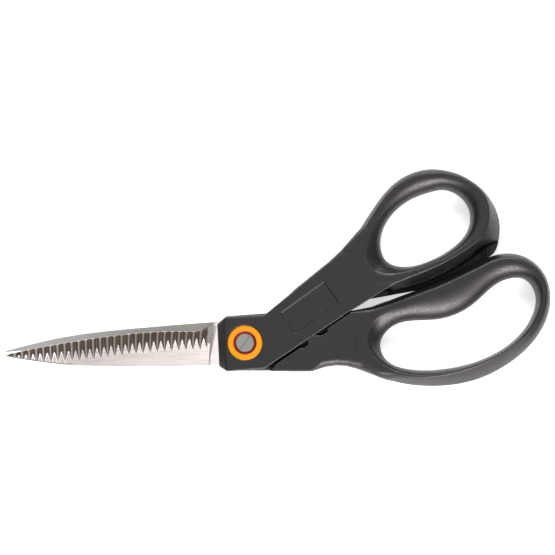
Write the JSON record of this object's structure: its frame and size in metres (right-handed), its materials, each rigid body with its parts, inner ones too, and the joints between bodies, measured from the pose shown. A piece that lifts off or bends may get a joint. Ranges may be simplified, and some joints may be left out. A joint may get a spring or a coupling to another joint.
{
  "type": "pinking shears",
  "caption": "Pinking shears with moulded handles, one round and one long finger loop, meshing zigzag blades and an adjustable pivot.",
  "frame": {"origin": "on the pivot axis, in the plane of the back faces that the shears lie on (the flat back of the pivot nut)", "axes": "+X from the pivot along the shears to the handles, with the blades along -X; +Y to the side of the thumb loop; +Z along the pivot axis to the front face"},
  "size_m": [0.2302, 0.0913, 0.013],
  "materials": {
    "blade_steel": "ground and lightly brushed",
    "handle_plastic": "fine-grained satin",
    "bush_plastic": "smooth",
    "pivot_steel": "turned",
    "washer_plastic": "smooth"
  },
  "bodies": {
    "finger_half": {"finger_handle": "handle_plastic", "finger_blade": "blade_steel", "rear_bush": "bush_plastic", "pivot_nut": "pivot_steel", "blade_washer": "washer_plastic"},
    "thumb_half": {"thumb_handle": "handle_plastic", "thumb_blade": "blade_steel", "front_bush": "bush_plastic"},
    "pivot_screw": {"pivot_screw": "pivot_steel", "spring_washer": "pivot_steel"}
  },
  "joints": [
    {"name": "shears_open", "type": "hinge", "parent": "finger_half", "child": "thumb_half", "pos_m": [0, 0, 0.006], "axis": [0, 0, 1], "range_deg": [0, 85]},
    {"name": "tension_screw", "type": "hinge", "parent": "finger_half", "child": "pivot_screw", "pos_m": [0, 0, 0.0105], "axis": [0, 0, 1], "range_deg": [-90, 90]}
  ]
}
